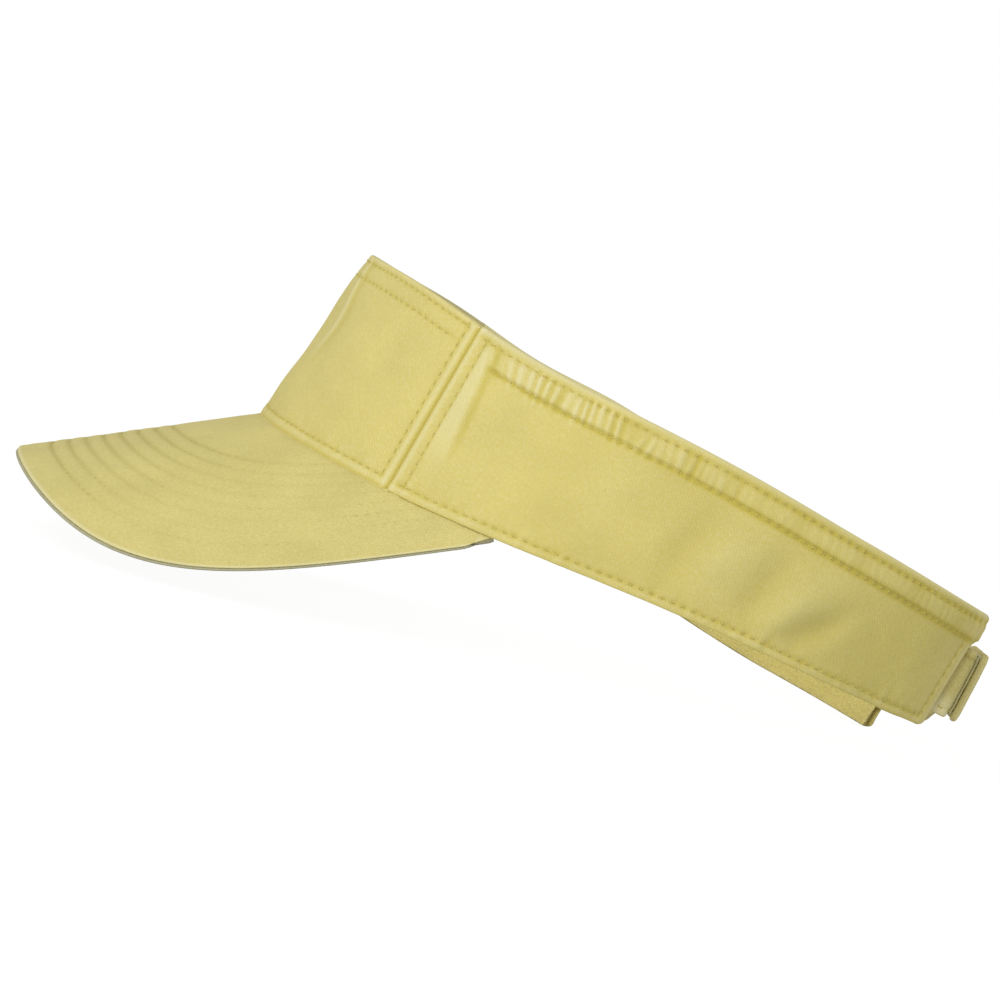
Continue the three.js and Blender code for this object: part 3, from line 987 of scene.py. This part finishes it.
def side_lines(side):
    """The stitch lines of the hem, the casing's top and foot, the front seam and the rear end."""
    last = end_on(side, PANEL_END)
    end_row = last - END_STITCH / SIDE_RADIUS
    casing_end = last - CASING_STITCH_END
    return [
        line_along(sewn(height_above(SIDE_HEM), 4), side * (SEAM_AT_FOOT + radians(1)), side * end_row),
        line_along(sewn(below_top(CASING_TOP), 5), side * radians(50.3), side * casing_end),
        line_along(sewn(below_top(CASING_FOOT), 6), side * radians(54.6), side * casing_end),
        line_across(lambda share: side * (seam_angle(share) + SIDE_TOPSTITCH / SIDE_RADIUS), SIDE_HEM, 45),
        line_across(lambda share: side * end_row + 0 * share, SIDE_HEM, 25.5),
    ]


def gathers(s, top):
    """Puckers that the elastic draws in the casing, finer and deeper towards the front."""
    rear = smoothstep(s, 100, 180)
    leaning = s - lerp(0.4, 0.1, rear) * top
    phase = leaning / GATHER_PITCH + 0.7 * noise(leaning / 7, top / 14, 41)
    fine = np.sin(2 * pi * phase) * (0.7 + 0.8 * noise(leaning / 4.5, top / 8, 42))
    broad = noise(leaning / 4, top / 16, 47)
    foot = CASING_FOOT + lerp(3.4, 1.0, rear) * (1 + 0.6 * noise(s / 4, 0.5 + 0 * s, 48))
    spread = smoothstep(top, 0.9, 2.4) * (1 - smoothstep(top, CASING_FOOT - 1.2, foot))
    return (lerp(0.27, 0.05, rear) * fine + lerp(0.22, 0.13, rear) * broad) * spread


def side_relief(side, lines, angle, h):
    """How far a side panel's face stands out, and its tone."""
    s = side * arc_length(angle)
    top = band_height(angle) - h
    behind = from_seam(angle, h)
    from_end = side * arc_length(side * end_on(side, PANEL_END)) - s
    rear = smoothstep(s, 90, 150)
    grooves = sum(line.groove(angle, h) for line in lines)

    fold = SEAM_FOLD + FOLD_LEAN * top
    past_fold = smoothstep(behind, fold - 1.5, fold + 0.5)
    tunnel = smoothstep(top, CASING_TOP - 0.4, CASING_TOP + 1.4) * past_fold
    tunnel = tunnel * (1 - smoothstep(top, CASING_FOOT - 1.0, CASING_FOOT - 0.1))
    puckers = gathers(s, top) * smoothstep(behind, 4.5, 9)
    foot_shadow = bump(top, CASING_FOOT + 0.2, 0.75) * past_fold
    foot_shadow = foot_shadow * (1 + 0.5 * noise(s / 3, 0.5 + 0 * s, 49))

    seam_lift, seam_tone = seam_relief(np.abs(behind))
    allowance = (1 - smoothstep(behind, fold - 2.4, fold)) * smoothstep(behind, 3.9, 5.2)
    crease = bump(behind, fold, 1.0) * smoothstep(h, 10, 24) * smoothstep(top, 1.5, 4)
    hem = 0.12 * (1 - smoothstep(h, 1.6, 2.8)) + 0.1 * bump(h, 0.9, 0.8)
    hem_pucker = noise(s / 2.2, h / 6, 43) * bump(h, 2.2, 2.4)
    end = 0.25 * (1 - smoothstep(from_end, 2.6, 4.6))
    drapes = side_drapes(s, h)
    soft = 0.3 * noise(s / 22, h / 15, 44) + 0.12 * noise(s / 8, h / 8, 45) + 0.04 * noise(s / 3, h / 3, 46)
    inside = smoothstep(behind, 6, 20) * smoothstep(from_end, 3, 12)
    lift = (0.1 + lerp(0.7, 0.45, rear) * tunnel + puckers + seam_lift + 0.35 * allowance - 0.45 * crease
            + hem + 0.2 * hem_pucker + end + (drapes + soft) * inside - grooves)
    # Pale hem edge and rear end edge, rubbed and with painted highlight.
    edges = 0.3 * bump(h, 0.9, 0.5) + 0.4 * bump(from_end, 0.5, 0.8)
    rows = bump(top, CASING_TOP, 1.0) + bump(top, CASING_FOOT - 0.3, 1.3)
    # Painted shade along the casing's stitch rows towards the rear.
    edges = edges - 0.5 * smoothstep(s, 120, 185) * rows * past_fold
    shade = 1.8 * np.minimum(puckers, 0) + 2.2 * np.maximum(puckers, 0) - 0.6 * foot_shadow
    strip = 0.5 * allowance * smoothstep(h, 6, 24) * smoothstep(top, 2, 5)
    # Painted shade in the crease and the stitch grooves; painted light and shade on the hem's puckers.
    tone = edges + shade + strip + seam_tone + 0.25 * hem_pucker - 0.6 * crease - 1.6 * grooves
    # Painted shade over the rear of the panel, weaker where the drapes stand out.
    return lift, tone + 0.2 * (drapes - 1.1) * inside * smoothstep(s, 90, 125)


# The billow of the soft panel and the folds in it: place along the band at their middle height, width,
# size, lean, middle height and spread upwards
DRAPES = (
    (172, 34.0, 1.1, 0.0, 16, 13),
    (126, 8.0, 1.0, 0.0, 24, 14),
    (151, 5.0, -1.1, 0.0, 15, 12),
    (160, 6.0, 0.7, 0.1, 17, 12),
    (174, 5.5, -1.4, 0.1, 15, 12),
    (183, 4.5, 0.9, 0.5, 12, 9),
    (192, 5.0, -1.4, 0.6, 11, 8),
    (214, 12.0, -0.7, 0.2, 15, 12),
)


def side_drapes(s, h):
    waver = 1.2 * noise(s / 13, h / 7, 50)
    return sum(size * bump(s + waver, place + lean * (h - middle), width) * bump(h, middle, spread)
               for place, width, size, lean, middle, spread in DRAPES)


def side_panel(side, label, body):
    """The panel and the casing along its top edge, as one cloth turned in over the elastic."""
    lines = side_lines(side)
    walked = np.concatenate([
        np.linspace(0, 1, PANEL_ROWS),
        1 + np.linspace(0, 1, FOLD_ROWS + 2)[1:-1],
        2 + np.linspace(0, 1, TURNED_ROWS),
    ])[None]
    u = np.linspace(0, 1, PANEL_COLUMNS)[:, None]
    outer_leg = np.minimum(walked, 1)
    fold = np.clip(walked - 1, 0, 1) * pi
    inner_leg = np.clip(walked - 2, 0, 1)

    def span_angle(share):
        """Angles at these shares of the height, with the rear corners rounded."""
        start = seam_angle(share) + SEAM_MARGIN
        low = corner_cut(share * 40, CORNER_RADIUS)
        high = corner_cut((1.02 - share) * 34, CORNER_RADIUS)
        step = CASING_STEP * smoothstep(share, 0.7, 0.8)
        finish = end_on(side, PANEL_END) + step - (low + high) / SIDE_RADIUS
        return side * lerp(start, finish, u)

    near = span_angle(outer_leg)
    height = band_height(near)
    leg_height = (height - FOLD_RADIUS + 0.1) * outer_leg - 0.1
    drop = inner_leg * (CASING_FOOT - FOLD_RADIUS)
    share = (leg_height + FOLD_RADIUS * np.sin(fold) - drop) / height
    angle = span_angle(share)
    h = share * band_height(angle)
    lift, tone = side_relief(side, lines, angle, h)
    outside = 1 - smoothstep(fold, 0.3 * pi, 0.9 * pi)
    top_distance = (height - h) * (1 - smoothstep(fold, 0.9 * pi, pi)) + 9 * inner_leg
    middle_depth = PANEL_TOP_CLOTH / 2 + FOLD_RADIUS * (1 - np.cos(fold))
    half = PANEL_TOP_CLOTH / 2 * np.cos(fold)
    rise = PANEL_TOP_CLOTH / 2 * np.sin(fold)
    front = band_point(angle, h + rise, middle_depth - half - lift * outside)
    follow = np.maximum(-lift - 0.1, 0) - 0.5 * np.maximum(lift, 0)
    back = band_point(angle, h - rise, middle_depth + half + follow * outside)
    fabric = np.stack([side * arc_length(angle), h + drop + fold * FOLD_RADIUS], axis=-1)
    # A pale line along the top fold, rubbed and with painted highlight.
    lip = 0.8 * bump(top_distance, 0, 0.9)
    tone = tone * outside + lip
    if side < 0:
        front, back, fabric, tone = front[::-1], back[::-1], fabric[::-1], tone[::-1]
    # Its rounded edges and ends get painted shade.
    panel = cloth(f"{label}_side_cloth", front, back, fabric, tone, "panel_twill", edge_tone=-0.3,
                  end_tone=-0.1)
    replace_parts(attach(panel, body), f"{label}_side_panel", f"{label}_top_casing")
    paths = [band_path(line, lambda a, b: -side_relief(side, lines, a, b)[0]) for line in lines]
    made = stitches(f"{label}_side_stitching", paths, BAND_THREAD, "panel_twill", seed=7 + side)
    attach(made, body)


def mirrored(side, start, end):
    first = lambda share: side * start(share)
    last = lambda share: side * end(share)
    return (first, last) if side > 0 else (last, first)


def side_inside(side, label, body):
    def behind(degrees):
        return lambda share: seam_angle(share) + SEAM_HALF_ANGLE + radians(degrees)

    def sweatband_end(share):
        """Lower down the towelling runs on, under the strap."""
        return end_on(side, LINING_END) + radians(7.0) * (1 - smoothstep(share, 0.2, 0.27))

    def sweatband_foot(angle):
        """It clears the ends of the bill when the side swings."""
        return lerp(1.0, 0.2, smoothstep(np.abs(angle), BILL_HALF_ANGLE, BILL_HALF_ANGLE + radians(15)))

    tape = mirrored(side, behind(0.5), behind(6))
    lining = mirrored(side, behind(6.4), fixed(end_on(side, LINING_END)))
    sweatband = mirrored(side, behind(0.5), sweatband_end)
    foot, top = height_above(1.0), below_top(CASING_FOOT)
    band_piece(f"{label}_seam_tape_cloth", f"{label}_seam_tape", body, tape, foot, top, LINING, 0.8,
               "facing_twill")
    band_piece(f"{label}_lining_cloth", f"{label}_side_lining", body, lining, foot, top, LINING, 0.9,
               "lining_twill")
    band_piece(f"{label}_sweatband_cloth", f"{label}_sweatband", body, sweatband, sweatband_foot,
               height_above(25.0), SIDE_SWEATBAND, 0.7, "terry", sweatband_relief)


def care_label():
    first, last = radians(122), radians(135)
    band_piece("care_label_ribbon", "care_label", "left_side", (fixed(first), fixed(last)),
               height_above(5.0), height_above(19.0), LABEL, 0.7, "satin")


# ------------ the closure

TAB_Y = STRAP_BACK - STRAP_CLOTH / 2
HOOK_TAPE_Y = TAB_Y - STRAP_CLOTH / 2 - LAYER_GAP - TAPE / 2
LOOP_TAPE_Y = HOOK_TAPE_Y - TAPE - LAYER_GAP
LOOP_STRAP_Y = LOOP_TAPE_Y - TAPE / 2 - LAYER_GAP - STRAP_CLOTH / 2
STRAP_DEPTH = 2.1
BORDER = 2.0  # the straps' stitch lines, in from their edges
FOLD_LENGTH = 9.0  # the part of the tab that bends when it is peeled


def strap_slope(x):
    end_x = BAND_WIDTH / 2 * sin(end_on(-1, PANEL_END))
    return -STRAP_DROP * smoothstep(-x, 0, end_x)


def strap_line(side, straight_x, straight_y):
    """The middle line of a strap seen from above, from inside the panel's end to its straight stretch."""
    angles = side * end_on(side, np.linspace(STRAP_START, PANEL_END, 8))
    inside = band_point(angles, 0 * angles, STRAP_DEPTH)[:, :2]
    start = inside[-1]
    end = np.array([straight_x, straight_y])
    leave = start + np.array([-side * 5, 5])
    arrive = end + np.array([side * 8, 0])
    t = np.linspace(0, 1, 24)[1:, None]
    bend = ((1 - t) ** 3 * start + 3 * (1 - t) ** 2 * t * leave
            + 3 * (1 - t) * t ** 2 * arrive + t ** 3 * end)
    return np.concatenate([inside, bend])


def plan(line, spacing):
    """Even points of a line seen from above, how far along it each is, and the outward direction there."""
    length = run_length(line)
    where = np.linspace(0, length[-1], max(int(length[-1] / spacing), 3))
    middle = sample(line, length, where)
    ahead = unit(np.gradient(middle, axis=0))
    return middle, where, np.stack([ahead[:, 1], -ahead[:, 0]], axis=1)


def ribbon(name, line, thickness, foot, width, slot, seed, material=None, corner=1.6, border=BORDER,
           spacing=0.6, tip_hem=0.0, faded_at=None):
    """A strip of cloth standing on edge along a line seen from above, its outer face to the right of it.

    tip_hem is how far a hem turned in where the line starts stands out of the inner face; faded_at is
    where along the line the lower edge is bleached."""
    middle, where, outward = plan(line, spacing)
    rows = max(int(width / spacing), 6)
    v = np.linspace(0, 1, rows)[None]
    end = np.minimum(where, where[-1] - where)[:, None]
    pinch = corner_cut(end, corner)
    half = thickness / 2
    height = lerp(foot + half + pinch, foot + width - half - pinch, v)
    edge = np.minimum(v, 1 - v) * width
    stitch = bump(edge, border, 0.6) * smoothstep(end, 0.5, 2)
    uneven = 0.05 * noise(where[:, None] / 3, height / 3, seed)
    puff = 0.12 * smoothstep(edge, 0, 1.2) + uneven - 0.2 * stitch
    hem = tip_hem * (1 - smoothstep(where, 1.1, 1.7))[:, None]
    z = height + strap_slope(middle[:, 0])[:, None]

    def face(offset):
        spread = middle[:, None] + outward[:, None] * offset[..., None]
        return np.concatenate([spread, z[..., None]], axis=-1)

    fabric = np.stack([where[:, None] + 0 * height, height + 0 * where[:, None]], axis=-1)
    # Painted highlight along the folded edges and painted shade along the border stitching.
    tone = 0.35 * np.exp(-(edge / 0.8) ** 2) + 0 * height - 0.6 * stitch
    if faded_at is not None:
        tone = tone + 1.6 * bump(where, faded_at, 4.5)[:, None] * bump(v * width, 0, 4)
    return cloth(name, face(half + puff), face(-half - 0.3 * puff - hem), fabric, tone, slot, material)


def border_paths(line):
    """Where a strap's two border stitch lines run, along the part of its line that is given."""
    middle, _, outward = plan(line, 0.5)
    paths = []
    for height in (STRAP_FOOT + BORDER, STRAP_FOOT + STRAP_WIDTH - BORDER):
        face = middle + outward * (STRAP_CLOTH / 2 - 0.08)
        z = height + strap_slope(middle[:, 0])
        paths.append((np.column_stack([face, z]), np.column_stack([outward, 0 * z])))
    return paths


def bending_strap(name, line, corner, seed, bodies, start, end, **details):
    """A strap's cloth and its stitching, with their transforms baked in. bodies, start and end are not used.
    """
    strap = ribbon(f"{name}_cloth", line, STRAP_CLOTH, STRAP_FOOT, STRAP_WIDTH, "strap_twill", seed,
                   corner=corner, **details)
    thread = stitches(f"{name}_stitching", border_paths(line), BAND_THREAD, "strap_twill", seed=seed)
    for piece in (strap, thread):
        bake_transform(piece)
    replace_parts(strap, name)


def straps():
    """The left strap, the right strap and the right strap's loose end, which peels back from its fold."""
    left = np.concatenate([strap_line(1, LOOP_FLAT_X, LOOP_STRAP_Y), [[LOOP_TIP, LOOP_STRAP_Y]]])
    right = strap_line(-1, FOLD_X, TAB_Y)[::-1]
    tab = np.array([[TAB_TIP, TAB_Y], [FOLD_X - 0.1, TAB_Y]])
    inner_left = band_point(np.array(STRAP_START), np.array(20.0), STRAP_DEPTH)
    inner_right = band_point(np.array(-end_on(-1, STRAP_START)), np.array(20.0), STRAP_DEPTH)
    bending_strap("loop_strap", left, 1.6, 51, ("left_side", "left_strap"), inner_left,
                  [LOOP_FLAT_X + 1, STRAP_BACK - 2, TAB_HINGE_HEIGHT], faded_at=13.0)
    bending_strap("hook_strap", right, 0.3, 52, ("right_side", "right_strap"), inner_right,
                  [FOLD_X - 6, STRAP_BACK - 2, TAB_HINGE_HEIGHT])
    bending_strap("hook_tab", tab, 0.7, 53, ("right_strap", "peel_tab"), [FOLD_X, TAB_Y, TAB_HINGE_HEIGHT],
                  [FOLD_X + FOLD_LENGTH, TAB_Y, TAB_HINGE_HEIGHT], tip_hem=0.9)


def tapes():
    """The loop pile on the left strap and the hooks on the tab, pressed together."""
    tape_foot = STRAP_FOOT + 1
    tape_width = STRAP_WIDTH - 2
    meeting = (LOOP_TAPE_Y + HOOK_TAPE_Y) / 2
    loop_y = (LOOP_STRAP_Y + STRAP_CLOTH / 2 + meeting) / 2
    hook_y = (TAB_Y - STRAP_CLOTH / 2 + meeting) / 2
    loop_line = np.array([[TAB_TIP + 0.2, loop_y], [LOOP_TIP + 1, loop_y]])
    hook_line = np.array([[TAB_TIP - 1.9, hook_y], [LOOP_TIP - 1, hook_y]])
    thickness = abs(meeting - loop_y) * 2
    loop_tape = ribbon("loop_tape_pile", loop_line, thickness, tape_foot, tape_width, "loop_tape", 54,
                       "loop_pile", corner=0.5, border=1.2, spacing=0.4)
    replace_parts(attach(loop_tape, "left_strap"), "loop_tape")
    hook_tape = ribbon("hook_tape_base", hook_line, thickness, tape_foot, tape_width, "hook_tape", 55,
                       "hook_plastic", corner=0.5, border=1.2)
    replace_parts(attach(hook_tape, "peel_tab"), "hook_tape")


# ------------ hidden pieces, stage and camera

AMBIENT = 0.58  # share of the light that comes from all round
KEY_POWER = 7.05  # watts
KEY_SIZE = 0.7
KEY_DISTANCE = 1.2
KEY_DIRECTION = (0.92, -0.39, 0.5)
FLOOR_HALF = 3.0
CAMERA_DISTANCE = 1.2
CAMERA_ELEVATION = radians(3.5)
CAMERA_ROLL = radians(27.5)  # of the photograph, with the visor as worn
CAMERA_FIELD = radians(12.85)
CAMERA_AIM = (0, -0.0028, 0.03855)


def finish_hidden_nodes():
    hidden = {"bill_board": "board_plastic", "left_top_elastic": "elastic", "right_top_elastic": "elastic"}
    for name, material in hidden.items():
        mesh_materials = frame["nodes"][name].data.materials
        mesh_materials.clear()
        mesh_materials.append(materials[material])


def camera_or_other(tree, seen, other):
    """One shader for what the camera sees directly and another for the light it gives."""
    path = tree.nodes.new("ShaderNodeLightPath")
    mixed = tree.nodes.new("ShaderNodeMixShader")
    tree.links.new(path.outputs["Is Camera Ray"], mixed.inputs[0])
    tree.links.new(other.outputs[0], mixed.inputs[1])
    tree.links.new(seen.outputs[0], mixed.inputs[2])
    return mixed.outputs[0]


def white_background():
    world = bpy.data.worlds.new("studio")
    world.use_nodes = True
    tree = world.node_tree
    seen = tree.nodes["Background"]
    seen.inputs["Color"].default_value = (1, 1, 1, 1)
    other = tree.nodes.new("ShaderNodeBackground")
    other.inputs["Color"].default_value = (1, 1, 1, 1)
    other.inputs["Strength"].default_value = AMBIENT
    tree.links.new(camera_or_other(tree, seen, other), tree.nodes["World Output"].inputs["Surface"])
    bpy.context.scene.world = world
    bpy.context.scene.view_settings.view_transform = "Standard"


def pale_floor():
    signs = ((-1, -1), (1, -1), (1, 1), (-1, 1))
    corners = [(x * FLOOR_HALF, y * FLOOR_HALF, cad_box[0].z) for x, y in signs]
    mesh = bpy.data.meshes.new("floor")
    mesh.from_pydata(corners, [], [(0, 1, 2, 3)])
    material = bpy.data.materials.new("pale_floor")
    material.use_nodes = True
    tree = material.node_tree
    seen = tree.nodes["Principled BSDF"]
    seen.inputs["Base Color"].default_value = (0.12, 0.12, 0.12, 1)
    seen.inputs["Roughness"].default_value = 1.0
    seen.inputs["Specular IOR Level"].default_value = 0.0
    seen.inputs["Emission Color"].default_value = (1, 1, 1, 1)
    seen.inputs["Emission Strength"].default_value = 0.94
    other = tree.nodes.new("ShaderNodeBsdfDiffuse")
    other.inputs["Color"].default_value = (0.8, 0.8, 0.8, 1)
    tree.links.new(camera_or_other(tree, seen, other), tree.nodes["Material Output"].inputs["Surface"])
    mesh.materials.append(material)
    add_object("floor", mesh)


def soft_light():
    """A large lamp beside the camera, a little towards the visor's front."""
    aim = Vector((0, 0, 0.04))
    direction = Vector(KEY_DIRECTION).normalized()
    data = bpy.data.lights.new("key", "AREA")
    data.shape = "DISK"
    data.size = KEY_SIZE
    data.energy = KEY_POWER
    lamp = add_object("key", data)
    lamp.location = aim + direction * KEY_DISTANCE
    lamp.rotation_euler = direction.to_track_quat("Z", "Y").to_euler()


def make_camera():
    """From the wearer's left, a little above, with the visor's slope as the photograph shows it."""
    roll = CAMERA_ROLL - rest_tilt
    picture_up = Vector((0, -sin(roll), cos(roll)))
    backwards = Vector((cos(CAMERA_ELEVATION), 0, 0)) + picture_up * sin(CAMERA_ELEVATION)
    side = picture_up.cross(backwards).normalized()
    up = backwards.cross(side).normalized()
    data = bpy.data.cameras.new("camera")
    data.angle = CAMERA_FIELD
    data.clip_end = 20
    camera = add_object("camera", data)
    rotation = Matrix((side, up, backwards)).transposed().to_4x4()
    camera.matrix_world = Matrix.Translation(Vector(CAMERA_AIM) + backwards * CAMERA_DISTANCE) @ rotation
    bpy.context.scene.camera = camera


# ------------ the whole visor

bill_top()
bill_underside()
bill_stitching()
front_panel()
front_inside()
for side_sign, side_label in ((1, "left"), (-1, "right")):
    side_panel(side_sign, side_label, f"{side_label}_side")
    side_inside(side_sign, side_label, f"{side_label}_side")
care_label()
straps()
tapes()
finish_hidden_nodes()
white_background()
pale_floor()
soft_light()
make_camera()
